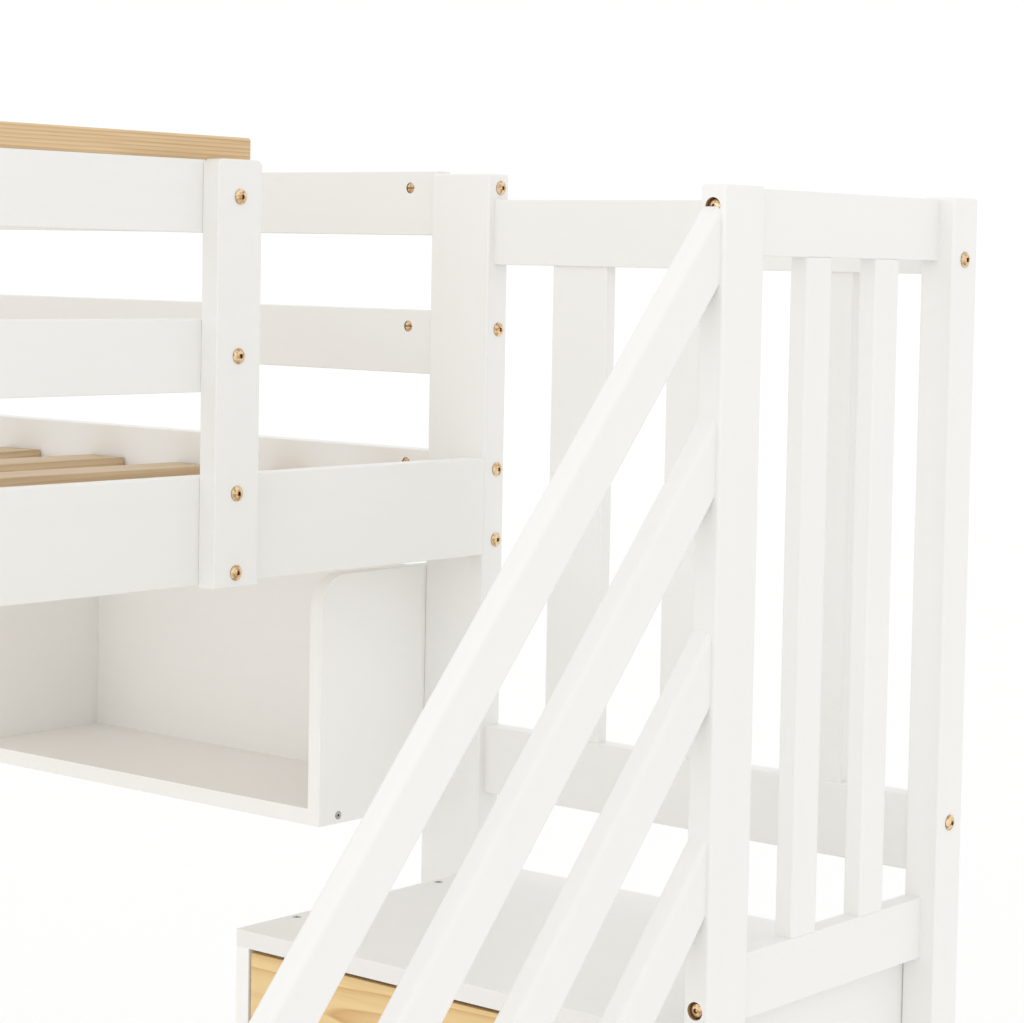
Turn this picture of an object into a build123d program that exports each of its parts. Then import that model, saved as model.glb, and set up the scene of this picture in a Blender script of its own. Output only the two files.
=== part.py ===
from build123d import *
import math
import os

os.makedirs("parts", exist_ok=True)

# A twin loft bed on four posts, with a storage staircase across its foot end.
# X runs across the bed, from the open front to the wall side.
# Y runs along the bed, from the foot end to the head end. Z is up from the floor.
# While the pieces are made, X = 0 is the outer face of the front posts,
# and Y = 0 is the outer face of the foot posts. The stairs lie at negative Y.

# Bed
bed_width = 1060.0
bed_length = 2008.0
under_bed = 1358.5
post_width = 87.0
post_depth = 33.5
post_above_rail = 428.8
wood_ease = 2.5
board_ease = 1.2

# Rails and guard boards, with heights measured from the underside of the rails
rail_height = 109.0
rail_thickness = 24.5
guard_height = 73.0
guard_thickness = 21.0
guard_lower_bottom = 194.0
guard_upper_bottom = 353.0
long_guard_lift = 6.0
long_rail_lift = 3.5
post_reveal = 3.5
lower_rail_floor_gap = 200.0
lower_rail_height = 90.0
upright_width = 59.0
upright_thickness = 23.0
upright_corner = 7.0
upright_drop = 2.0
mid_upright_thickness = 18.0
mid_upright_lift = 1.0
entry_gap = 370.0
cap_height = 24.0
cap_overrun = 6.5
cap_ease = 3.0

# Slatted base
slat_count = 11
slat_width = 67.0
slat_thickness = 15.0
slat_top = 73.0
slat_first_gap = 98.0
slat_last_gap = 154.0
slat_end_gap = 3.0
ledge_width = 22.0
ledge_height = 30.0
ledge_end_gap = 20.0

# Staircase
step_count = 4
step_rise = 250.0
stair_width = 571.0
stair_back_inset = 2.5
stair_back_sheet = 6.0
panel = 18.0
shelf_back_sheet = 4.0
tread_screw_in = 10.0
tread_screw_edge = 40.0
landing_screw_front = 76.0
landing_screw_back = 106.0
tall_post_rows = (0.48, 2.48, 3.52)
short_post_rows = (0.24, 0.76)
front_recess = 1.5
front_side_gap = 2.5
front_top_gap = 4.0
front_bottom_gap = 4.0
front_floor_gap = 12.0
drawer_side = 12.0
drawer_bottom = 6.0
drawer_depth = 360.0
drawer_height = 150.0
drawer_back_height = 130.0
drawer_side_gap = 1.5
drawer_groove = 8.0
drawer_travel = 280.0
slide_gap = 0.3
runner_height = 20.0
runner_width = 12.0
runner_length = 330.0
runner_setback = 6.0
knob_radius = 16.0
knob_reach = 24.0
knob_grip = 12.0
knob_round = 4.5
knob_neck = 8.0
knob_spigot = 4.0
knob_spigot_length = 12.0

# Landing and stair rails
newel_width = 60.3
newel_thickness = 27.5
newel_inset = 6.0
landing_post_ease = 3.2
corner_post_depth = 44.4
corner_post_width = 38.0
landing_post_top = 403.0
side_rail_thickness = 20.5
side_top_rail_top = 401.0
side_top_rail_height = 60.4
side_low_rail_height = 61.0
side_low_rail_gap = 3.0
baluster_width = 40.0
baluster_shift = 4.5
baluster_count = 2
back_rail_thickness = 22.0
back_rail_setback = 10.0
back_top_rail_top = 400.0
back_low_rail_height = 76.0
back_low_rail_gap = 87.0
back_slat_width = 76.4
back_slat_thickness = 16.5
back_slat_end_spare = 2.1
back_slat_shift = 2.1
back_slat_count = 3
back_slat_inset = 3.0
side_bolt_depth = 13.5
side_bolt_drop = 18.0
side_bolt_low = 20.0
back_bolt_low = 15.0
back_bolt_drop = 24.0
baluster_ease = 3.0
back_slat_ease = 2.0
bar_count = 4
bar_height = 72.0
bar_thickness = 23.0
bar_steepness = 1.0085
bar_pitch = 187.8
bar_top_drop = 20.0
bar_ease = 5.0
foot_newel_inset = 10.0

# Hanging shelf under the wall side
shelf_depth = 200.0
shelf_height = 278.5
shelf_drop = 19.0
shelf_corner = 35.0
shelf_back_drop = 7.0
shelf_back_reach = 0.5
compartment_count = 3
shelf_screw_edge = 30.0
shelf_screw_back = 60.0
shelf_screw_low = 125.0
shelf_screw_drop = 45.0

# Fasteners
bolt_head_radius = 7.8
bolt_dome = 3.2
bolt_rim = 0.7
bolt_radius = 3.0
bolt_hole = 3.5
bolt_socket = 2.6
bolt_socket_depth = 2.2
bolt_past_nut = 7.0
recess_spare = 0.5
hole_spare = 2.0
screw_hole_spare = 0.5
dowel_hole_spare = 1.0
recess_play = 0.5
rail_bolt_low = 12.5
rail_bolt_drop = 16.5
guard_bolt_drop = 19.0
end_bolt_edge = 34.0
nut_radius = 6.0
nut_hole = 6.3
nut_setback = 42.0
nut_depth_left = 2.5
nut_sink = 1.0
nut_slot = 1.4
sleeve_flange_radius = 7.0
sleeve_flange = 1.2
sleeve_radius = 4.5
sleeve_floor = 4.0
sleeve_short = 6.0
screw_head_radius = 4.5
screw_head = 2.6
screw_radius = 2.0
screw_play = 0.25
screw_socket = 1.7
thread_play = 0.2
edge_screw_bite = 30.0
bed_post_bite = 24.0
stair_post_bite = 18.0
ledge_screw_bite = 16.0
slat_screw_bite = 14.0
runner_screw_bite = 12.0
dowel_radius = 4.0
dowel_length = 36.0
dowel_play = 0.15
cap_dowel_shares = (0.1, 0.5, 0.9)
ledge_screw_shares = (0.04, 0.27, 0.5, 0.73, 0.96)
runner_screw_shares = (0.15, 0.85)

# Sizes that follow from the values above
wall_x = bed_width
wall_inner = bed_width - post_depth
upright_right = wall_inner - entry_gap
landing_x = upright_right
landing_top = step_count * step_rise
stair_back = bed_width - stair_back_inset
step_run = landing_x / (step_count - 1)
post_top = under_bed + post_above_rail
cap_low = under_bed + guard_upper_bottom + guard_height
landing_rail_top = under_bed + landing_post_top
newel_x = landing_x + newel_inset
shelf_front = bed_width + shelf_back_reach - shelf_depth
bolt_recess = bolt_dome + bolt_rim + recess_spare
long_board_x = {"wall": bed_width - post_reveal, "front": post_reveal}
ledge_top = under_bed + slat_top - slat_thickness
slat_room = bed_length - 2 * rail_thickness - slat_first_gap - slat_last_gap - slat_width
slat_pitch = slat_room / (slat_count - 1)

pieces = {}
cutters = {}
bolts = []
nuts = []
screws = []
dowels = []

LOW = (Align.CENTER, Align.CENTER, Align.MIN)
HIGH = (Align.CENTER, Align.CENTER, Align.MAX)


def span_box(x, y, z):
    """A box from three (low, high) spans."""
    size = [max(s) - min(s) for s in (x, y, z)]
    centre = [(s[0] + s[1]) / 2 for s in (x, y, z)]
    return Pos(*centre) * Box(*size)


def board(x, y, z, ease=board_ease):
    """A planed board with its four long edges eased."""
    solid = span_box(x, y, z)
    size = [abs(s[1] - s[0]) for s in (x, y, z)]
    along = [Axis.X, Axis.Y, Axis.Z][size.index(max(size))]
    return fillet(solid.edges().filter_by(along), min(ease, min(size) / 4))


def post(x, y, top, ease=wood_ease):
    """An upright from the floor, eased on its long edges and round its top."""
    solid = span_box(x, y, (0, top))
    edges = solid.edges().filter_by(Axis.Z) + solid.faces().sort_by(Axis.Z)[-1].edges()
    return fillet(edges, ease)


def add(name, *solids):
    pieces.setdefault(name, []).extend(solids)


def drill(name, cutter):
    cutters.setdefault(name, []).append(cutter)


def facing(at, into, solid):
    """Turn a solid made along +Z to point into a direction from a point."""
    return solid.moved(Plane(origin=at, z_dir=into).location)


def along(at, into, distance):
    return tuple(a + distance * d for a, d in zip(at, into))


def rod(at, into, radius, length):
    return facing(at, into, Cylinder(radius, length, align=LOW))


def bolt_solid(length):
    """A domed bolt with a hexagon socket, its head outside the origin."""
    dome_radius = (bolt_head_radius ** 2 + bolt_dome ** 2) / (2 * bolt_dome)
    sphere = Pos(0, 0, dome_radius - bolt_dome - bolt_rim) * Sphere(dome_radius)
    blank = Cylinder(bolt_head_radius, bolt_dome + bolt_rim, align=HIGH)
    socket = extrude(RegularPolygon(bolt_socket, 6), bolt_socket_depth)
    head = (sphere & blank) - Pos(0, 0, -bolt_dome - bolt_rim) * socket
    return head + Cylinder(bolt_radius, length, align=LOW)


def nut_solid(length, bore_at):
    """A cross dowel nut along +Z, with a slotted end and a bore for the bolt along X."""
    bore = Pos(0, 0, bore_at) * Rot(0, 90, 0) * Cylinder(bolt_radius + thread_play, 3 * nut_radius)
    return Cylinder(nut_radius, length, align=LOW) - bore - Box(2 * nut_radius, nut_slot, 2 * nut_slot)


def add_bolt(at, into, post_name, grip, rail_name, rail_face, thickness, recess=0.0, depth=None):
    """A bolt through a post into the end of a rail, and its cross dowel nut.

    rail_face is the direction from the bolt to the face that the nut goes in
    from, thickness is the rail's size that way, and depth is the distance from
    that face to the bolt, half the thickness unless it is given.
    """
    depth = thickness / 2 if depth is None else depth
    seat = along(at, into, recess)
    centre = along(at, into, grip + nut_setback)
    length = grip + nut_setback + bolt_past_nut - recess
    bolts.append(facing(seat, into, bolt_solid(length)))
    hole = rod(at, into, bolt_hole, length + recess + hole_spare)
    drill(post_name, hole)
    drill(rail_name, hole)
    if recess:
        drill(post_name, rod(at, into, bolt_head_radius + recess_play, recess))
    mouth = along(centre, rail_face, depth)
    inward = tuple(-f for f in rail_face)
    drill(rail_name, rod(mouth, inward, nut_hole, thickness - nut_depth_left))
    seat = along(mouth, inward, nut_sink)
    nut = nut_solid(thickness - nut_depth_left - nut_sink, depth - nut_sink)
    nuts.append(nut.moved(Plane(origin=seat, x_dir=into, z_dir=inward).location))


def add_through_bolt(at, into, names, grip):
    """A bolt through flat boards, held by a flanged sleeve nut on the far side."""
    bolts.append(facing(at, into, bolt_solid(grip - sleeve_floor)))
    hole = rod(at, into, sleeve_radius + thread_play, grip)
    for name in names:
        drill(name, hole)
    far = along(at, into, grip)
    back = tuple(-d for d in into)
    flange = Cylinder(sleeve_flange_radius, sleeve_flange, align=HIGH)
    bore = Cylinder(bolt_radius + thread_play, grip, align=LOW)
    sleeve = Cylinder(sleeve_radius, grip - sleeve_short, align=LOW) - bore
    nuts.append(facing(far, back, flange + sleeve))


def add_screw(at, into, names, length):
    """A flat-headed screw flush with the first board's face."""
    head = Cylinder(screw_head_radius, screw_head, align=LOW)
    socket = extrude(RegularPolygon(screw_socket, 6), screw_head / 2)
    solid = head - socket + Cylinder(screw_radius, length, align=LOW) - socket
    screws.append(facing(at, into, solid))
    drill(names[0], rod(at, into, screw_head_radius + screw_play, screw_head))
    for name in names:
        drill(name, rod(at, into, screw_radius + screw_play, length + screw_hole_spare))


def add_dowel(at, into, names):
    """A wooden dowel centred on the joint between two pieces."""
    start = along(at, into, -dowel_length / 2)
    dowels.append(rod(start, into, dowel_radius, dowel_length))
    for name in names:
        hole_start = along(at, into, -dowel_length / 2 - dowel_hole_spare)
        drill(name, rod(hole_start, into, dowel_radius + dowel_play, dowel_length + 2 * dowel_hole_spare))


def make_posts():
    """Four posts carry the bed, with their wide faces along the bed.

    All but the one beside the entry gap stop under a guard cap.
    """
    for end, y in (("foot", (0, post_width)), ("head", (bed_length - post_width, bed_length))):
        wall_top = post_top if end == "foot" else cap_low
        add(f"post_{end}_wall", post((wall_inner, bed_width), y, wall_top))
        add(f"post_{end}_front", post((0, post_depth), y, cap_low))


def make_long_sides():
    """A rail and two guard boards on each long side, butted between the posts."""
    y = (post_width, bed_length - post_width)
    for side, outer in long_board_x.items():
        inward = -1 if side == "wall" else 1
        rail_outer = bed_width if side == "wall" else 0
        rail_x = (rail_outer, rail_outer + inward * rail_thickness)
        guard_x = (outer, outer + inward * guard_thickness)
        rail_z = under_bed + long_rail_lift
        rows = [
            (f"{side}_side_rail", rail_x, rail_z, rail_height,
             (rail_bolt_low, rail_height - rail_bolt_drop)),
            (f"{side}_guard_lower", guard_x, under_bed + guard_lower_bottom + long_guard_lift,
             guard_height, (guard_height - guard_bolt_drop,)),
            (f"{side}_guard_upper", guard_x, under_bed + guard_upper_bottom + long_guard_lift,
             guard_height, (guard_height - guard_bolt_drop,)),
        ]
        if side == "wall":
            rows.append(("wall_lower_rail", guard_x, lower_rail_floor_gap, lower_rail_height,
                         (rail_bolt_low, lower_rail_height - rail_bolt_drop)))
        for name, x, low, height, bolt_rows in rows:
            add(name, board(x, y, (low, low + height)))
            middle = (x[0] + x[1]) / 2
            thickness = abs(x[1] - x[0])
            for row in bolt_rows:
                for end, start, into in (("foot", 0, (0, 1, 0)), ("head", bed_length, (0, -1, 0))):
                    covered = end == "foot" and low < landing_top
                    add_bolt((middle, start, low + row), into, f"post_{end}_{side}", post_width,
                             name, (inward, 0, 0), thickness, recess=bolt_recess if covered else 0.0)


def make_end_rails():
    """Rails across both ends and a lower rail at the head, bolted through the posts."""
    x = (post_depth, wall_inner)
    for end, outer, inward in (("foot", 0, 1), ("head", bed_length, -1)):
        y = (outer, outer + inward * rail_thickness)
        rows = [(f"{end}_end_rail", under_bed, rail_height)]
        if end == "head":
            rows.append(("head_lower_rail", lower_rail_floor_gap, lower_rail_height))
        for name, low, height in rows:
            add(name, board(x, y, (low, low + height)))
            for row in (end_bolt_edge, height - end_bolt_edge):
                for side, start, into in (("front", 0, (1, 0, 0)), ("wall", bed_width, (-1, 0, 0))):
                    at = (start, (y[0] + y[1]) / 2, low + row)
                    add_bolt(at, into, f"post_{end}_{side}", post_depth, name, (0, inward, 0), rail_thickness)


def make_end_guards():
    """Guard boards across both ends. At the foot they stop at the entry gap."""
    for end, outer, inward in (("foot", 0, 1), ("head", bed_length, -1)):
        right = upright_right if end == "foot" else wall_inner
        y = (outer, outer + inward * guard_thickness)
        for level, low in (("lower", guard_lower_bottom), ("upper", guard_upper_bottom)):
            name = f"{end}_guard_{level}"
            z = under_bed + low
            add(name, board((post_depth, right), y, (z, z + guard_height)))
            at = (0, (y[0] + y[1]) / 2, z + guard_height / 2)
            add_bolt(at, (1, 0, 0), f"post_{end}_front", post_depth, name, (0, inward, 0), guard_thickness)
            if end == "head":
                at = (bed_width, at[1], at[2])
                add_bolt(at, (-1, 0, 0), "post_head_wall", post_depth, name, (0, inward, 0), guard_thickness)
        cap_right = right + cap_overrun if end == "foot" else bed_width
        cap = span_box((0, cap_right), y, (cap_low, cap_low + cap_height))
        cap_edges = cap.faces().sort_by(Axis.Z)[-1].edges() + cap.edges().filter_by(Axis.Z)
        add(f"{end}_guard_cap", fillet(cap_edges, cap_ease))
        for share in cap_dowel_shares:
            at = (post_depth + share * (right - post_depth), (y[0] + y[1]) / 2, cap_low)
            add_dowel(at, (0, 0, 1), [f"{end}_guard_cap", f"{end}_guard_upper"])


def upright(x, y, low, top):
    """A guard upright whose two top corners are rounded, seen from its broad side."""
    solid = span_box(x, y, (low, top))
    thin = Axis.Y if abs(x[1] - x[0]) > abs(y[1] - y[0]) else Axis.X
    solid = fillet(solid.edges().filter_by(thin).sort_by(Axis.Z)[-2:], upright_corner)
    broad = solid.faces().filter_by(thin)
    return fillet(broad[0].edges() + broad[1].edges(), board_ease)


def make_uprights():
    """One upright beside the entry gap, and one halfway along each long side."""
    x = (upright_right - upright_width, upright_right)
    low = under_bed - upright_drop
    top = under_bed + post_above_rail - upright_drop
    add("foot_guard_upright", upright(x, (-upright_thickness, 0), low, top))
    centre = (x[0] + x[1]) / 2
    rail_rows = ((rail_bolt_low, "foot_end_rail", rail_thickness),
                 (rail_height - rail_bolt_drop, "foot_end_rail", rail_thickness))
    guard_rows = ((guard_lower_bottom + guard_height / 2, "foot_guard_lower", guard_thickness),
                  (guard_upper_bottom + guard_height / 2, "foot_guard_upper", guard_thickness))
    for row, name, thickness in rail_rows + guard_rows:
        at = (centre, -upright_thickness, under_bed + row)
        add_through_bolt(at, (0, 1, 0), ["foot_guard_upright", name], upright_thickness + thickness)
    middle = bed_length / 2
    for side, outer in long_board_x.items():
        out = 1 if side == "wall" else -1
        rail_outer = bed_width if side == "wall" else 0
        y = (middle - upright_width / 2, middle + upright_width / 2)
        inner = outer - out * guard_thickness
        wood = inner - out * mid_upright_thickness
        low = under_bed + slat_top + mid_upright_lift
        add("long_guard_uprights", upright((wood, inner), y, low, post_top))
        guard_middle = long_guard_lift + guard_height / 2
        rows = ((outer, guard_lower_bottom + guard_middle, f"{side}_guard_lower"),
                (outer, guard_upper_bottom + guard_middle, f"{side}_guard_upper"),
                (rail_outer, long_rail_lift + rail_height - rail_bolt_drop, f"{side}_side_rail"))
        for face, row, name in rows:
            add_through_bolt((face, middle, under_bed + row), (-out, 0, 0), ["long_guard_uprights", name],
                             abs(wood - face))


def make_slats():
    """Slats across the bed, screwed to a ledge along each side rail."""
    wall_face = bed_width - rail_thickness
    front_face = rail_thickness
    ledge_y = (post_width + ledge_end_gap, bed_length - post_width - ledge_end_gap)
    ledge_z = (ledge_top - ledge_height, ledge_top)
    for face, out, rail in ((wall_face, -1, "wall_side_rail"), (front_face, 1, "front_side_rail")):
        add("slat_ledges", board((face, face + out * ledge_width), ledge_y, ledge_z))
        for share in ledge_screw_shares:
            at = (face + out * ledge_width, ledge_y[0] + share * (ledge_y[1] - ledge_y[0]),
                  ledge_top - ledge_height / 2)
            add_screw(at, (-out, 0, 0), ["slat_ledges", rail], ledge_width + ledge_screw_bite)
    x = (front_face + slat_end_gap, wall_face - slat_end_gap)
    for i in range(slat_count):
        low = rail_thickness + slat_first_gap + i * slat_pitch
        z = (ledge_top, ledge_top + slat_thickness)
        add("mattress_slats", board(x, (low, low + slat_width), z))
        for end in (x[0] + ledge_width / 2, x[1] - ledge_width / 2):
            add_screw((end, low + slat_width / 2, z[1]), (0, 0, -1), ["mattress_slats", "slat_ledges"],
                      slat_thickness + slat_screw_bite)


def riser_x(level):
    """Front of a step, counted from 1 at the floor to the landing."""
    return (level - 1) * step_run


def make_stair_boxes():
    """Each level is a box of two sides and a top board, stacked on the one below."""
    near = -stair_width
    for level in range(1, step_count + 1):
        front = riser_x(level)
        low = (level - 1) * step_rise
        z = (low, low + step_rise - panel)
        add("stair_side_bed", span_box((front, stair_back), (-panel, 0), z))
        add("stair_side_near", span_box((front, stair_back), (near, near + panel), z))
        top = span_box((front, stair_back), (near, 0), (z[1], low + step_rise))
        name = "landing_board" if level == step_count else "stair_treads"
        add(name, top)
        last = level == step_count
        stop = stair_back if last else riser_x(level + 1)
        first = front + (landing_screw_front if last else tread_screw_edge)
        second = stop - (landing_screw_back if last else tread_screw_edge)
        for y, side in ((-tread_screw_in, "stair_side_bed"), (near + tread_screw_in, "stair_side_near")):
            for x in (first, second):
                add_screw((x, y, low + step_rise), (0, 0, -1), [name, side], panel + edge_screw_bite)
    sheet_x = (stair_back, stair_back + stair_back_sheet)
    add("stair_back_panel", span_box(sheet_x, (near, 0), (0, landing_top)))
    for x, name, rows in ((wall_inner, "post_foot_wall", tall_post_rows[:2]),
                          (0, "post_foot_front", short_post_rows)):
        for row in rows:
            add_screw((x + post_depth / 2, -panel, row * step_rise), (0, 1, 0), ["stair_side_bed", name],
                      panel + bed_post_bite)


def knob_solid():
    """A turned knob along +Z: a neck and a domed grip."""
    neck = Cylinder(knob_neck, knob_reach, align=LOW)
    grip = Pos(0, 0, knob_reach) * Cylinder(knob_radius, knob_grip, align=HIGH)
    grip = fillet(grip.edges().filter_by(GeomType.CIRCLE), knob_round)
    return neck + grip + Cylinder(knob_spigot, knob_spigot_length, align=HIGH)


def make_drawers():
    """One drawer in each riser: a front, two sides, a back, a bottom and a knob."""
    bed_face = -panel
    near_face = -stair_width + panel
    for level in range(1, step_count + 1):
        front = riser_x(level) + front_recess
        low = (level - 1) * step_rise
        opening_top = low + step_rise - panel
        front_low = low + (front_floor_gap if level == 1 else front_bottom_gap)
        y = (near_face + front_side_gap, bed_face - front_side_gap)
        front_z = (front_low, opening_top - front_top_gap)
        front_name = f"drawer_{level}_front"
        box_name = f"drawer_{level}_box"
        add(front_name, span_box((front, front + panel), y, front_z))
        side_x = (front + panel, front + panel + drawer_depth)
        side_low = low + runner_height + front_bottom_gap + slide_gap
        side_z = (side_low, side_low + drawer_height)
        outer = (near_face + drawer_side_gap, bed_face - drawer_side_gap)
        add(box_name, span_box(side_x, (outer[0], outer[0] + drawer_side), side_z))
        add(box_name, span_box(side_x, (outer[1] - drawer_side, outer[1]), side_z))
        inner = (outer[0] + drawer_side, outer[1] - drawer_side)
        back_x = (side_x[1] - drawer_side, side_x[1])
        floor_z = (side_low + drawer_groove, side_low + drawer_groove + drawer_bottom)
        add(box_name, span_box(back_x, inner, (floor_z[1], floor_z[1] + drawer_back_height)))
        add(box_name, span_box(side_x, inner, floor_z))
        knob_z = (front_z[0] + front_z[1]) / 2
        knob_at = (front, (y[0] + y[1]) / 2, knob_z)
        add(f"drawer_{level}_knob", facing(knob_at, (-1, 0, 0), knob_solid()))
        knob_hole = rod(knob_at, (1, 0, 0), knob_spigot + dowel_play, knob_spigot_length + dowel_hole_spare)
        drill(front_name, knob_hole)
        runner_x = (front + panel + runner_setback, front + panel + runner_setback + runner_length)
        runner_z = (low + front_bottom_gap, low + front_bottom_gap + runner_height)
        for face, out, side in ((near_face, 1, "stair_side_near"), (bed_face, -1, "stair_side_bed")):
            add("drawer_runners", span_box(runner_x, (face, face + out * runner_width), runner_z))
            for share in runner_screw_shares:
                at = (runner_x[0] + share * runner_length, face + out * runner_width,
                      (runner_z[0] + runner_z[1]) / 2)
                add_screw(at, (0, -out, 0), ["drawer_runners", side], runner_width + runner_screw_bite)


def make_landing_rails():
    """Posts and rails that close the landing at the near side and at the wall side."""
    near = -stair_width
    corner_x = (wall_inner, wall_inner + corner_post_depth)
    add("landing_corner_post",
        post(corner_x, (near - corner_post_width, near), landing_rail_top, landing_post_ease))
    newel_span = (newel_x, newel_x + newel_width)
    add("landing_newel_post",
        post(newel_span, (near - newel_thickness, near), landing_rail_top, landing_post_ease))

    rail_x = (newel_span[1], wall_inner)
    rail_y = (near - side_rail_thickness, near)
    top_z = (under_bed + side_top_rail_top - side_top_rail_height, under_bed + side_top_rail_top)
    low_z = (landing_top + side_low_rail_gap, landing_top + side_low_rail_gap + side_low_rail_height)
    add("landing_side_rail_top", board(rail_x, rail_y, top_z))
    add("landing_side_rail_low", board(rail_x, rail_y, low_z))
    middle_y = near - side_rail_thickness / 2
    for name, z in (("landing_side_rail_top", top_z[1] - side_bolt_drop),
                    ("landing_side_rail_low", low_z[0] + side_bolt_low)):
        bolt_y = near - side_bolt_depth
        add_bolt((newel_span[0], bolt_y, z), (1, 0, 0), "landing_newel_post", newel_width,
                 name, (0, 1, 0), side_rail_thickness, bolt_recess, side_bolt_depth)
        add_bolt((corner_x[1], bolt_y, z), (-1, 0, 0), "landing_corner_post", corner_post_depth,
                 name, (0, 1, 0), side_rail_thickness, depth=side_bolt_depth)
    free = rail_x[1] - rail_x[0] - baluster_count * baluster_width
    gap = free / (baluster_count + 1)
    for i in range(baluster_count):
        left = rail_x[0] + gap + i * (gap + baluster_width) + baluster_shift
        add("landing_side_balusters", board((left, left + baluster_width), rail_y, (low_z[1], top_z[0]),
                                              baluster_ease))
        for z in (low_z[1], top_z[0]):
            add_dowel((left + baluster_width / 2, middle_y, z), (0, 0, 1),
                      ["landing_side_balusters", "landing_side_rail_top", "landing_side_rail_low"])

    back_x = (wall_inner + back_rail_setback, wall_inner + back_rail_setback + back_rail_thickness)
    back_y = (near, 0)
    high_z = (under_bed + back_top_rail_top - guard_height, under_bed + back_top_rail_top)
    foot_z = (landing_top + back_low_rail_gap, landing_top + back_low_rail_gap + back_low_rail_height)
    add("landing_back_rail_top", board(back_x, back_y, high_z))
    add("landing_back_rail_low", board(back_x, back_y, foot_z))
    middle_x = (back_x[0] + back_x[1]) / 2
    for name, z in (("landing_back_rail_top", high_z[0] + back_bolt_low),
                    ("landing_back_rail_low", foot_z[1] - back_bolt_drop)):
        add_bolt((middle_x, near - corner_post_width, z), (0, 1, 0), "landing_corner_post",
                 corner_post_width, name, (1, 0, 0), back_rail_thickness)
        add_bolt((middle_x, post_width, z), (0, -1, 0), "post_foot_wall", post_width,
                 name, (1, 0, 0), back_rail_thickness, recess=bolt_recess)
    room = stair_width - 2 * back_slat_end_spare - back_slat_count * back_slat_width
    gap = room / (back_slat_count + 1)
    slat_x = (back_x[0] + back_slat_inset, back_x[0] + back_slat_inset + back_slat_thickness)
    for i in range(back_slat_count):
        left = near + back_slat_end_spare + back_slat_shift + gap + i * (gap + back_slat_width)
        add("landing_back_slats", board(slat_x, (left, left + back_slat_width), (foot_z[1], high_z[0]),
                                        back_slat_ease))
        for z in (foot_z[1], high_z[0]):
            add_dowel(((slat_x[0] + slat_x[1]) / 2, left + back_slat_width / 2, z), (0, 0, 1),
                      ["landing_back_slats", "landing_back_rail_top", "landing_back_rail_low"])


def make_handrail():
    """Four parallel bars run down beside the steps to a newel post at the foot."""
    near = -stair_width
    slope = bar_steepness * step_rise / step_run
    foot_x = (foot_newel_inset, foot_newel_inset + newel_width)
    run = newel_x - foot_x[1]
    top_at_newel = landing_rail_top - bar_top_drop
    foot_top = top_at_newel - slope * run + bar_top_drop
    add("stair_foot_newel", post(foot_x, (near - newel_thickness, near), foot_top, landing_post_ease))
    for i in range(bar_count):
        high = top_at_newel - i * bar_pitch
        low = high - slope * run
        outline = Polyline((foot_x[1], low), (newel_x, high), (newel_x, high - bar_height),
                           (foot_x[1], low - bar_height), close=True)
        face = make_face(Plane.XZ * outline)
        bar = extrude(face, bar_thickness, dir=(0, -1, 0)).moved(Location((0, near, 0)))
        long_edges = [e for e in bar.edges() if e.length > run]
        add("stair_handrail_bars", fillet(long_edges, bar_ease))
        middle = near - bar_thickness / 2
        add_dowel((newel_x, middle, high - bar_height / 2), (1, 0, 0),
                  ["stair_handrail_bars", "landing_newel_post"])
        add_dowel((foot_x[1], middle, low - bar_height / 2), (1, 0, 0),
                  ["stair_handrail_bars", "stair_foot_newel"])
    for x, name, rows in ((foot_x[0] + newel_width / 2, "stair_foot_newel", short_post_rows),
                          (newel_x + newel_width / 2, "landing_newel_post", tall_post_rows),
                          (wall_inner + post_depth / 2, "landing_corner_post", tall_post_rows)):
        for row in rows:
            add_screw((x, near + panel, row * step_rise), (0, -1, 0), ["stair_side_near", name],
                      panel + stair_post_bite)


def shelf_panel(y):
    """An upright panel of the shelf with its front top corner rounded."""
    top = under_bed - shelf_drop
    solid = span_box((shelf_front, shelf_front + shelf_depth), y, (top - shelf_height, top))
    corner = solid.edges().filter_by(Axis.Y).sort_by(lambda e: e.center().X - e.center().Z)[0]
    return fillet(corner, shelf_corner)


def make_shelf():
    """A long open shelf hung between the two wall posts under the bed."""
    top = under_bed - shelf_drop
    low = top - shelf_height
    x = (shelf_front, shelf_front + shelf_depth)
    ends = ((post_width, post_width + panel), (bed_length - post_width - panel, bed_length - post_width))
    for y in ends:
        add("shelf_end_panels", shelf_panel(y))
    inner = (ends[0][1], ends[1][0])
    add("shelf_bottom", span_box(x, inner, (low, low + panel)))
    room = inner[1] - inner[0] - (compartment_count - 1) * panel
    width = room / compartment_count
    for i in range(compartment_count - 1):
        left = inner[0] + (i + 1) * width + i * panel
        full = shelf_panel((left, left + panel))
        keep = span_box(x, (left, left + panel), (low + panel, top))
        add("shelf_partitions", full & keep)
        for front in (shelf_screw_edge, shelf_depth - shelf_screw_edge):
            add_screw((shelf_front + front, left + panel / 2, low), (0, 0, 1),
                      ["shelf_bottom", "shelf_partitions"], panel + edge_screw_bite)
    back_x = (x[1], x[1] + shelf_back_sheet)
    back_y = (ends[0][0], ends[1][1])
    add("shelf_back", span_box(back_x, back_y, (low, top - shelf_back_drop)))
    for y, into in ((ends[0][0], (0, 1, 0)), (ends[1][1], (0, -1, 0))):
        for front in (shelf_screw_edge, shelf_depth - shelf_screw_back):
            add_screw((shelf_front + front, y, low + panel / 2), into, ["shelf_end_panels", "shelf_bottom"],
                      panel + edge_screw_bite)
    post_middle = wall_inner + post_depth / 2
    for y, into, name in ((ends[0][1], (0, -1, 0), "post_foot_wall"),
                          (ends[1][0], (0, 1, 0), "post_head_wall")):
        for z in (low + shelf_screw_low, top - shelf_screw_drop):
            add_screw((post_middle, y, z), into, ["shelf_end_panels", name], panel + edge_screw_bite)


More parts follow.
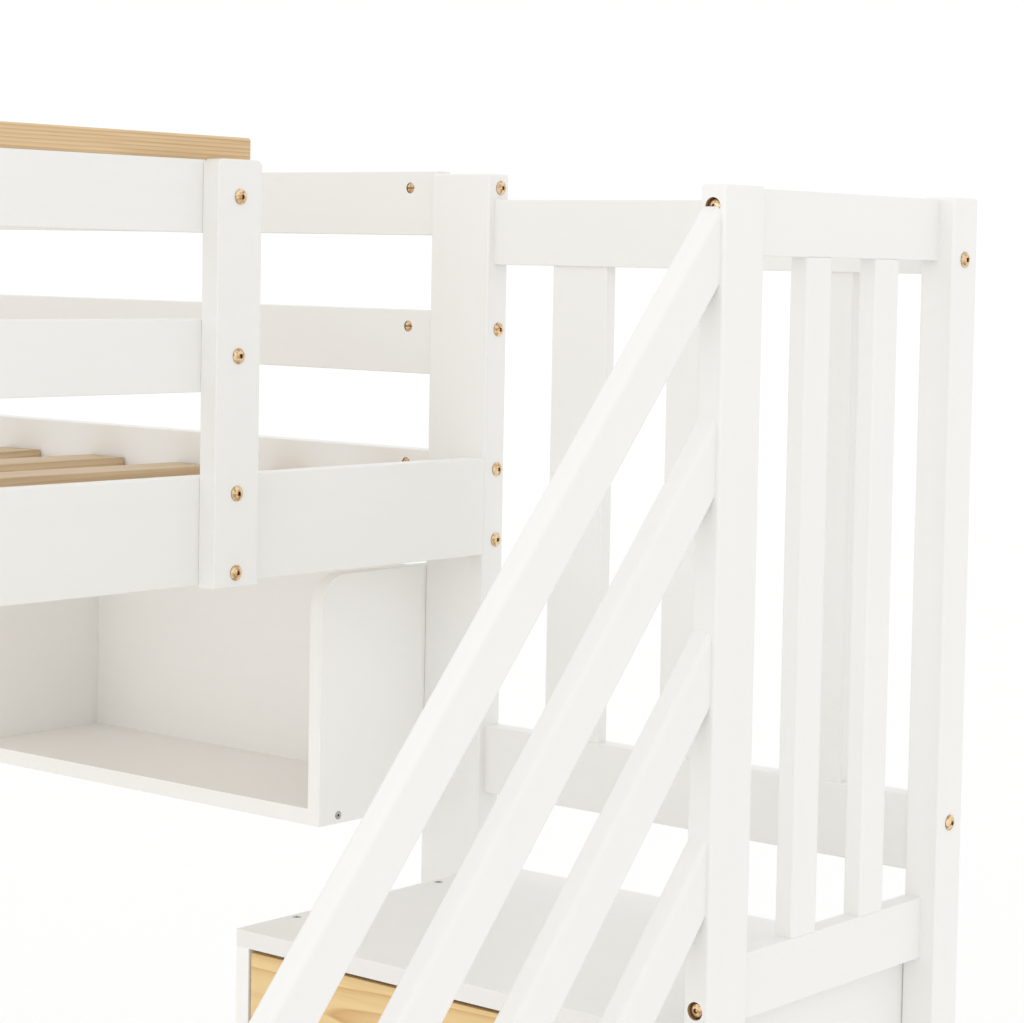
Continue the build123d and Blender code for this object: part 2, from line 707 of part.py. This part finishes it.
def main():
    make_posts()
    make_long_sides()
    make_end_rails()
    make_end_guards()
    make_uprights()
    make_slats()
    make_stair_boxes()
    make_drawers()
    make_landing_rails()
    make_handrail()
    make_shelf()
    add("bed_bolts", *bolts)
    add("barrel_nuts", *nuts)
    add("screws", *screws)
    add("wood_dowels", *dowels)

    finished = {}
    for name, solids in pieces.items():
        tools = cutters.get(name, [])
        done = []
        for solid in solids:
            box = solid.bounding_box()
            near = [t for t in tools if boxes_meet(box, t.bounding_box())]
            done.append(solid.cut(*near) if near else solid)
        finished[name] = done

    boxes = [solid.bounding_box() for solids in finished.values() for solid in solids]
    low = [min(tuple(box.min)[i] for box in boxes) for i in range(3)]
    high = [max(tuple(box.max)[i] for box in boxes) for i in range(3)]
    shift = Location((-(low[0] + high[0]) / 2, -(low[1] + high[1]) / 2, -low[2]))
    print("shift", [round(v, 3) for v in tuple(shift.position)])
    for name, solids in finished.items():
        bodies = [body for solid in solids for body in solid.moved(shift).solids()]
        export_step(bodies[0] if len(bodies) == 1 else Compound(children=bodies), f"parts/{name}.step")
    print(len(finished), "nodes")


def boxes_meet(a, b):
    a_low, a_high, b_low, b_high = (tuple(corner) for corner in (a.min, a.max, b.min, b.max))
    return all(a_low[i] <= b_high[i] and b_low[i] <= a_high[i] for i in range(3))


main()
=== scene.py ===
import math

import bpy
from mathutils import Matrix, Vector


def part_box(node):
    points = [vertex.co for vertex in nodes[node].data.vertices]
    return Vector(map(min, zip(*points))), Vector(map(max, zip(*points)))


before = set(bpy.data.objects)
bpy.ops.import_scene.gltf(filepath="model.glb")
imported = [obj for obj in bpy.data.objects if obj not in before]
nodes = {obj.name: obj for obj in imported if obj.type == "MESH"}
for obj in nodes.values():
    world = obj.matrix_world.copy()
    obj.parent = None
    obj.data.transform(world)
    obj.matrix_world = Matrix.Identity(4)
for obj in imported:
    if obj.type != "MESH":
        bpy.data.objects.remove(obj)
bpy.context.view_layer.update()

# Camera, solved from the straight edges in the photograph
FOCAL_PIXELS = 2699.365
CENTRE_PIXELS = (651.864, 410.518)
FRAME_PIXELS = (1024, 1023)
SENSOR_MM = 36.0
CAMERA_AT = (-1.77304, -2.71027, 1.68910)
YAW, PITCH, ROLL = (math.radians(angle) for angle in (37.956, 3.09, -1.218))
VIEW_REACH = 60.0

# Light: an even dome, a broad soft light from the open front, where the steps start,
# and a weaker one from beyond the foot end
SKY_COLOUR = (1.0, 1.0, 1.0)
SKY_STRENGTH = 1.03
SIDE_STRENGTH = 0.42
SIDE_FROM = (-1.0, -0.06, 0.02)
FRONT_STRENGTH = 0.08
FRONT_FROM = (-0.5, -1.0, 0.35)
SOFT_ANGLE = math.radians(60)

# Floor
FLOOR_HALF = 14.0
FLOOR_LIGHT = (0.955, 0.953, 0.95)
FLOOR_SHADE = (0.945, 0.943, 0.94)
FLOOR_ROUGHNESS = 0.8

# Colours, linear
PAINT = (0.858, 0.852, 0.828)
PAINT_SHADE = (0.838, 0.830, 0.80)
# Laminate white for the shelf and the stair's bed-side panel: the panels' own white, raised
# above the paint as painted light that brightens them where they stand in shade under and
# beside the bed
LAMINATE_WITH_PAINTED_LIGHT = (0.945, 0.938, 0.915)
LAMINATE_SHADE_WITH_PAINTED_LIGHT = (0.925, 0.918, 0.893)
BARE_WOOD = (0.42, 0.27, 0.14)
CAP_LIGHT = (0.73, 0.525, 0.30)
CAP_DARK = (0.36, 0.19, 0.06)
FRONT_LIGHT = (0.86, 0.645, 0.32)
FRONT_DARK = (0.56, 0.27, 0.07)
SLAT_LIGHT = (0.62, 0.465, 0.29)
SLAT_DARK = (0.38, 0.25, 0.13)
KNOT = (0.16, 0.07, 0.03)
PLY_LIGHT = (0.74, 0.60, 0.41)
PLY_DARK = (0.61, 0.46, 0.28)
GOLD = (0.86, 0.66, 0.40)
GOLD_RED = (0.42, 0.20, 0.09)
# Painted shade, near black, for the sockets of the yellow bolts and nuts
GOLD_SOCKET_PAINTED_SHADE = (0.10, 0.035, 0.015)
STEEL = (0.50, 0.50, 0.50)
STEEL_SHADE = (0.36, 0.36, 0.36)
# Painted shade for the sockets of the steel screws
STEEL_SOCKET_PAINTED_SHADE = (0.05, 0.05, 0.05)

# Noise patterns, in cells per metre
FLOOR_SPECK = 30.0
PAINT_CLOUD = 2.3
PAINT_GRAIN = 420.0
PAINT_RINGS = 60.0
PINE_DRIFT = 7.0
PINE_FIBRE = 900.0
PINE_UNEVEN = 24.0
PINE_DEPTH = 15.0
PLY_GRAIN = 160.0
PLY_CLOUD = 9.0
ZINC_DRIFT = 230.0
ZINC_FINE = 1400.0

# Growth rings. Pitch, wander (how far noise moves them) and the place of their centre
# line beside the board are in metres. Contrast is how strongly the dark lines show.
RING_SHARPNESS = 3.4
RING_END = 0.93
RING_UNEVENNESS = 1.2
BAND_CELLS_PER_PITCH = 0.45
SECOND_WANDER_SHARE = 0.8
CAP_RINGS = {"pitch": 0.0038, "wander": 0.012, "contrast": 0.9}
CAP_CENTRE_ASIDE = 0.02
CAP_CENTRE_BELOW = 0.09
SLAT_RINGS = {"pitch": 0.006, "wander": 0.12, "contrast": 0.7}
SLAT_CENTRE_Y = 0.1
SLAT_CENTRE_BELOW = 0.3
FRONT_RINGS = {"pitch": 0.0085, "wander": 0.10, "contrast": 0.85}
FRONT_CENTRE_BEHIND = 0.035
FRONT_CENTRE_STEP = 0.004
FRONT_CENTRE_ABOVE = 0.05

# Knots: cells per metre, and the distances from a cell's point between which one fades
SLAT_KNOTS = 7.0
KNOT_RADII = (0.05, 0.11)

# Plating. The reach, in metres, is how near a socket's walls are where painted shade darkens
# it.
GOLD_ROUGHNESS = 0.2
STEEL_ROUGHNESS = 0.3
ROUGHNESS_RANGE = 0.14
PAINTED_SHADE_REACH = 0.0022

# Fine bevel on flat panels, and the test that finds the walls of holes. Lengths are in
# metres.
PANEL_BEVEL = 0.0007
BEVEL_SEGMENTS = 2
BEVEL_ABOVE = math.radians(40)
HOLE_MARGIN = 0.0052
ON_FACE = 0.00002
SQUARE_ON = 0.99

AXES = {"X": 0, "Y": 1, "Z": 2}
DRAWER_COUNT = 4
PANEL_NAMES = ("shelf_", "stair_treads", "stair_side", "stair_back", "landing_board")
# Panels given the laminate white, which carries painted light for the shade under and beside
# the bed
PANELS_WITH_PAINTED_LIGHT = ("shelf_", "stair_side_bed")
SLAT_NAMES = ("mattress_slats", "slat_ledges", "wood_dowels")
SINGLE_BOARDS = (
    "post_foot_wall", "post_foot_front", "post_head_wall", "post_head_front",
    "landing_newel_post", "landing_corner_post", "landing_side_rail_top",
    "landing_side_rail_low", "wall_guard_lower", "wall_guard_upper", "front_guard_lower",
    "front_guard_upper", "wall_side_rail", "front_side_rail", "foot_end_rail",
    "head_end_rail",
)


class Graph:
    """A new material and short calls that add and join its nodes."""

    def __init__(self, name):
        self.material = bpy.data.materials.new(name)
        self.material.use_nodes = True
        self.tree = self.material.node_tree
        self.shader = self.tree.nodes["Principled BSDF"]

    def node(self, kind, **settings):
        made = self.tree.nodes.new("ShaderNode" + kind)
        for key, value in settings.items():
            setattr(made, key, value)
        return made

    def join(self, source, target):
        self.tree.links.new(source, target)

    def place(self, scale=(1, 1, 1), offset=(0, 0, 0)):
        """Object coordinates, which are metres in the row frame, stretched and moved."""
        coordinates = self.node("TexCoord")
        mapping = self.node("Mapping")
        mapping.inputs["Scale"].default_value = scale
        mapping.inputs["Location"].default_value = offset
        self.join(coordinates.outputs["Object"], mapping.inputs["Vector"])
        return mapping.outputs["Vector"]

    def noise(self, where, scale, detail, distortion=0.0):
        texture = self.node("TexNoise")
        texture.inputs["Scale"].default_value = scale
        texture.inputs["Detail"].default_value = detail
        texture.inputs["Distortion"].default_value = distortion
        self.join(where, texture.inputs["Vector"])
        return texture.outputs["Fac"]

    def spread(self, value, low, high, to_low=0.0, to_high=1.0):
        """Stretch the range from low to high over another range, cut off at its ends."""
        ramp = self.node("MapRange", clamp=True)
        ramp.inputs["From Min"].default_value = low
        ramp.inputs["From Max"].default_value = high
        ramp.inputs["To Min"].default_value = to_low
        ramp.inputs["To Max"].default_value = to_high
        self.join(value, ramp.inputs["Value"])
        return ramp.outputs["Result"]

    def mix(self, share, first, second):
        """Mix two colours, each a colour or a socket, by a socket's value."""
        blend = self.node("Mix", data_type="RGBA")
        self.join(share, blend.inputs["Factor"])
        for socket, value in ((blend.inputs["A"], first), (blend.inputs["B"], second)):
            if isinstance(value, tuple):
                socket.default_value = (*value, 1.0)
            else:
                self.join(value, socket)
        return blend.outputs["Result"]

    def math(self, operation, first, second=0.0):
        step = self.node("Math", operation=operation)
        for socket, value in zip(step.inputs, (first, second)):
            if isinstance(value, float):
                socket.default_value = value
            else:
                self.join(value, socket)
        return step.outputs["Value"]

    def bump(self, height, strength, distance):
        made = self.node("Bump")
        made.inputs["Strength"].default_value = strength
        made.inputs["Distance"].default_value = distance
        self.join(height, made.inputs["Height"])
        self.join(made.outputs["Normal"], self.shader.inputs["Normal"])

    def set(self, **values):
        """Set the shader's inputs, each to a number or from a socket."""
        for key, value in values.items():
            socket = self.shader.inputs[key.replace("_", " ")]
            if isinstance(value, float):
                socket.default_value = value
            else:
                self.join(value, socket)


def stretched(axis, along):
    """A scale that draws a pattern out along one axis."""
    scale = [1.0] * len(AXES)
    scale[AXES[axis]] = along
    return tuple(scale)


def satin(name, axis, light, shade_colour):
    """A satin surface over a faint grain: white paint, a white panel, or a hole's wall."""
    g = Graph(f"{name}_{axis.lower()}")
    cloud = g.noise(g.place(), PAINT_CLOUD, detail=2.0)
    grain = g.noise(g.place(stretched(axis, 0.03)), PAINT_GRAIN, detail=4.0, distortion=0.4)
    rings = g.noise(g.place(stretched(axis, 0.05)), PAINT_RINGS, detail=2.0, distortion=0.8)
    shade = g.math("MULTIPLY", g.spread(cloud, low=0.35, high=0.7), 0.6)
    shade = g.math("ADD", shade, g.spread(rings, low=0.45, high=0.75, to_high=0.25))
    g.set(Base_Color=g.mix(shade, light, shade_colour))
    g.set(Roughness=g.spread(grain, low=0.3, high=0.7, to_low=0.36, to_high=0.48))
    g.bump(g.math("ADD", grain, rings), strength=0.10, distance=0.0002)
    return g.material


def growth_rings(g, axis, pitch, centre, wander):
    """A value that rises to 1 at each ring's dark edge, round a line beside the board."""
    drift = g.noise(g.place(stretched(axis, 0.16)), PINE_DRIFT, detail=1.5)
    separate = g.node("SeparateXYZ")
    g.join(g.place(offset=tuple(-c for c in centre)), separate.inputs["Vector"])
    across = [separate.outputs[n] for n in AXES if n != axis]
    reach = (wander, wander * SECOND_WANDER_SHARE)
    swing = [g.math("MULTIPLY", g.math("SUBTRACT", drift, 0.5), w) for w in reach]
    moved = [g.math("ADD", s, w) for s, w in zip(across, swing)]
    radius = g.math("SQRT", g.math("ADD", *(g.math("MULTIPLY", m, m) for m in moved)))
    uneven = g.noise(g.place(stretched(axis, 0.05)), PINE_UNEVEN, detail=2.0)
    uneven = g.math("MULTIPLY", uneven, pitch * RING_UNEVENNESS)
    turn = g.math("FRACT", g.math("DIVIDE", g.math("ADD", radius, uneven), pitch))
    late = g.math("POWER", turn, RING_SHARPNESS)
    return g.math("MULTIPLY", late, g.spread(turn, RING_END, 1.0, to_low=1.0, to_high=0.0))


def pine(name, axis, light, dark, centre, pitch, wander, contrast, knots=0.0):
    """Lacquered pine: growth rings round a line outside the board, cut by its faces."""
    g = Graph(name)
    fine = g.noise(g.place(stretched(axis, 0.02)), PINE_FIBRE, detail=3.0, distortion=0.2)
    depth = g.noise(g.place(stretched(axis, 0.1)), PINE_DEPTH, detail=2.0)
    line = growth_rings(g, axis, pitch, centre, wander)
    line = g.math("MULTIPLY", line, g.spread(depth, low=0.25, high=0.65, to_low=0.35))
    line = g.math("MULTIPLY", line, contrast)
    bands = BAND_CELLS_PER_PITCH / pitch
    band = g.noise(g.place(stretched(axis, 0.03)), bands, detail=2.0)
    streak = g.math("MULTIPLY", g.spread(fine, low=0.35, high=0.75), 0.16)
    streak = g.math("ADD", streak, g.spread(band, low=0.5, high=0.72, to_high=0.35))
    colour = g.mix(g.math("ADD", line, streak), light, dark)
    if knots:
        spots = g.node("TexVoronoi")
        spots.inputs["Scale"].default_value = knots
        g.join(g.place(stretched(axis, 0.45)), spots.inputs["Vector"])
        ring = g.spread(spots.outputs["Distance"], *KNOT_RADII, to_low=0.9, to_high=0.0)
        colour = g.mix(ring, colour, KNOT)
    g.set(Base_Color=colour)
    g.set(Roughness=g.spread(fine, low=0.3, high=0.7, to_low=0.42, to_high=0.58))
    g.bump(g.math("ADD", line, fine), strength=0.16, distance=0.00025)
    return g.material


def plywood():
    """Pale plywood with a quiet grain along X."""
    g = Graph("drawer_plywood")
    grain = g.noise(g.place(stretched("X", 0.06)), PLY_GRAIN, detail=4.0, distortion=0.6)
    cloud = g.noise(g.place(), PLY_CLOUD, detail=2.0)
    share = g.spread(grain, low=0.35, high=0.7, to_high=0.6)
    share = g.math("ADD", share, g.math("MULTIPLY", cloud, 0.3))
    g.set(Base_Color=g.mix(share, PLY_LIGHT, PLY_DARK))
    g.set(Roughness=g.spread(grain, low=0.3, high=0.7, to_low=0.55, to_high=0.7))
    g.bump(grain, strength=0.12, distance=0.0002)
    return g.material


def plated(name, first, second, socket, roughness):
    """Zinc-plated steel with a mottled tint, and painted shade where its socket is deep."""
    g = Graph(name)
    drift = g.noise(g.place(), ZINC_DRIFT, detail=3.0, distortion=0.6)
    fine = g.noise(g.place(), ZINC_FINE, detail=2.0)
    tint = g.mix(g.spread(drift, low=0.42, high=0.68), first, second)
    # Ambient occlusion paints shade into the socket: the nearer its walls, the nearer the
    # colour comes to the painted shade
    socket_occlusion = g.node("AmbientOcclusion", samples=8)
    socket_occlusion.inputs["Distance"].default_value = PAINTED_SHADE_REACH
    unshaded_share = g.spread(socket_occlusion.outputs["AO"], low=0.45, high=0.85)
    rough_end = roughness + ROUGHNESS_RANGE
    g.set(Base_Color=g.mix(unshaded_share, socket, tint))
    g.set(Metallic=1.0)
    g.set(Roughness=g.spread(fine, low=0.3, high=0.7, to_low=roughness, to_high=rough_end))
    uneven = g.math("ADD", g.math("MULTIPLY", drift, 3.0), fine)
    g.bump(uneven, strength=0.35, distance=0.0002)
    return g.material


def cap_pine(end, box, side):
    """Pine for a guard cap, with the rings' centre line below it, on the side given."""
    middle = [(low + high) / 2 for low, high in zip(*box)]
    centre = (0, middle[1] + side * CAP_CENTRE_ASIDE, middle[2] - CAP_CENTRE_BELOW)
    return pine(f"pine_{end}_cap", "X", CAP_LIGHT, CAP_DARK, centre, **CAP_RINGS)


def front_pine(level, box):
    """Pine for one drawer's front and knob, with the rings' centre line behind it."""
    low, high = box
    centre = (high[0] + FRONT_CENTRE_BEHIND + FRONT_CENTRE_STEP * level, 0,
              (low[2] + high[2]) / 2 + FRONT_CENTRE_ABOVE)
    return pine(f"pine_front_{level}", "Y", FRONT_LIGHT, FRONT_DARK, centre, **FRONT_RINGS)


def long_axis(node):
    low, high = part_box(node)
    size = high - low
    return max(AXES, key=lambda axis: size[AXES[axis]])


def dress(node, material):
    """Give every face of a CAD node one material."""
    mesh = nodes[node].data
    mesh.materials.clear()
    mesh.materials.append(material)
    mesh.polygons.foreach_set("material_index", [0] * len(mesh.polygons))


def smooth_edges(node):
    """A fine bevel that catches the light along a panel's sharp edges."""
    bevel = nodes[node].modifiers.new("edge", "BEVEL")
    bevel.width = PANEL_BEVEL
    bevel.segments = BEVEL_SEGMENTS
    bevel.limit_method = "ANGLE"
    bevel.angle_limit = BEVEL_ABOVE


def bare_holes(node, material):
    """Give the walls of the holes in a painted post or board the look of bare wood.

    A hole's wall lies neither flat in one of the board's faces nor near one of its edges.
    """
    mesh = nodes[node].data
    low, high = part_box(node)
    mesh.materials.append(material)
    for face in mesh.polygons:
        gaps = [min(face.center[i] - low[i], high[i] - face.center[i]) for i in range(3)]
        on_face = any(gaps[i] < ON_FACE and abs(face.normal[i]) > SQUARE_ON for i in range(3))
        if not on_face and sum(gap < HOLE_MARGIN for gap in gaps) < 2:
            face.material_index = 1


def dress_nodes():
    paints = {axis: satin("white_paint", axis, PAINT, PAINT_SHADE) for axis in AXES}
    painted_light_panels = {axis: satin("white_panel_painted_light", axis, LAMINATE_WITH_PAINTED_LIGHT, LAMINATE_SHADE_WITH_PAINTED_LIGHT) for axis in AXES}
    bare = satin("bare_wood", "Z", BARE_WOOD, BARE_WOOD)
    gold = plated("yellow_zinc", GOLD, GOLD_RED, GOLD_SOCKET_PAINTED_SHADE, GOLD_ROUGHNESS)
    steel = plated("bright_zinc", STEEL, STEEL_SHADE, STEEL_SOCKET_PAINTED_SHADE, STEEL_ROUGHNESS)
    ply = plywood()
    slat_centre = (0, SLAT_CENTRE_Y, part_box("mattress_slats")[0][2] - SLAT_CENTRE_BELOW)
    slats = pine("pine_slats", "X", SLAT_LIGHT, SLAT_DARK, slat_centre, knots=SLAT_KNOTS,
                 **SLAT_RINGS)
    looks = {
        "foot_guard_cap": cap_pine("foot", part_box("foot_guard_cap"), 1),
        "head_guard_cap": cap_pine("head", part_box("head_guard_cap"), -1),
        "drawer_runners": ply,
        "bed_bolts": gold,
        "barrel_nuts": gold,
        "screws": steel,
    }
    looks.update(dict.fromkeys(SLAT_NAMES, slats))
    for level in range(1, DRAWER_COUNT + 1):
        front = front_pine(level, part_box(f"drawer_{level}_front"))
        looks[f"drawer_{level}_front"] = front
        looks[f"drawer_{level}_knob"] = front
        looks[f"drawer_{level}_box"] = ply
    for name in nodes:
        if name in looks:
            dress(name, looks[name])
        elif name.startswith(PANEL_NAMES):
            # The shelf and the bed-side panel get the brighter white, which is partly painted
            # light
            white = painted_light_panels if name.startswith(PANELS_WITH_PAINTED_LIGHT) else paints
            dress(name, white[long_axis(name)])
            smooth_edges(name)
        else:
            dress(name, paints[long_axis(name)])
            if name in SINGLE_BOARDS:
                bare_holes(name, bare)


def make_camera():
    """The photograph's camera. Its shift is counted in widths of the frame."""
    forward = Vector((math.cos(YAW) * math.cos(PITCH), math.sin(YAW) * math.cos(PITCH),
                      -math.sin(PITCH)))
    right = Vector((math.sin(YAW), -math.cos(YAW), 0.0))
    down = forward.cross(right)
    across = math.cos(ROLL) * right + math.sin(ROLL) * down
    below = -math.sin(ROLL) * right + math.cos(ROLL) * down
    rows = Matrix((across, -below, -forward)).transposed()
    width, height = FRAME_PIXELS
    data = bpy.data.cameras.new("camera")
    data.sensor_width = SENSOR_MM
    data.lens = SENSOR_MM * FOCAL_PIXELS / width
    data.shift_x = (width / 2 - CENTRE_PIXELS[0]) / width
    data.shift_y = (CENTRE_PIXELS[1] - height / 2) / width
    data.clip_end = VIEW_REACH
    camera = bpy.data.objects.new("camera", data)
    camera.matrix_world = Matrix.Translation(CAMERA_AT) @ rows.to_4x4()
    bpy.context.scene.collection.objects.link(camera)
    bpy.context.scene.camera = camera


def make_lamp(name, strength, source):
    """A sun with a wide disc, which gives soft shadows."""
    data = bpy.data.lights.new(name, "SUN")
    data.energy = strength
    data.angle = SOFT_ANGLE
    lamp = bpy.data.objects.new(name, data)
    lamp.rotation_euler = (-Vector(source)).to_track_quat("-Z", "Y").to_euler()
    bpy.context.scene.collection.objects.link(lamp)


def make_light():
    world = bpy.data.worlds.new("studio")
    world.use_nodes = True
    sky = world.node_tree.nodes["Background"]
    sky.inputs["Color"].default_value = (*SKY_COLOUR, 1.0)
    sky.inputs["Strength"].default_value = SKY_STRENGTH
    bpy.context.scene.world = world
    make_lamp("side", SIDE_STRENGTH, SIDE_FROM)
    make_lamp("front", FRONT_STRENGTH, FRONT_FROM)


def make_floor():
    mesh = bpy.data.meshes.new("floor")
    h = FLOOR_HALF
    mesh.from_pydata([(-h, -h, 0), (h, -h, 0), (h, h, 0), (-h, h, 0)], [], [(0, 1, 2, 3)])
    floor = bpy.data.objects.new("floor", mesh)
    g = Graph("floor")
    speck = g.noise(g.place(), FLOOR_SPECK, detail=2.0)
    g.set(Base_Color=g.mix(speck, FLOOR_LIGHT, FLOOR_SHADE))
    g.set(Roughness=FLOOR_ROUGHNESS)
    mesh.materials.append(g.material)
    bpy.context.scene.collection.objects.link(floor)


make_camera()
make_light()
make_floor()
dress_nodes()
bpy.context.scene.view_settings.view_transform = "Standard"
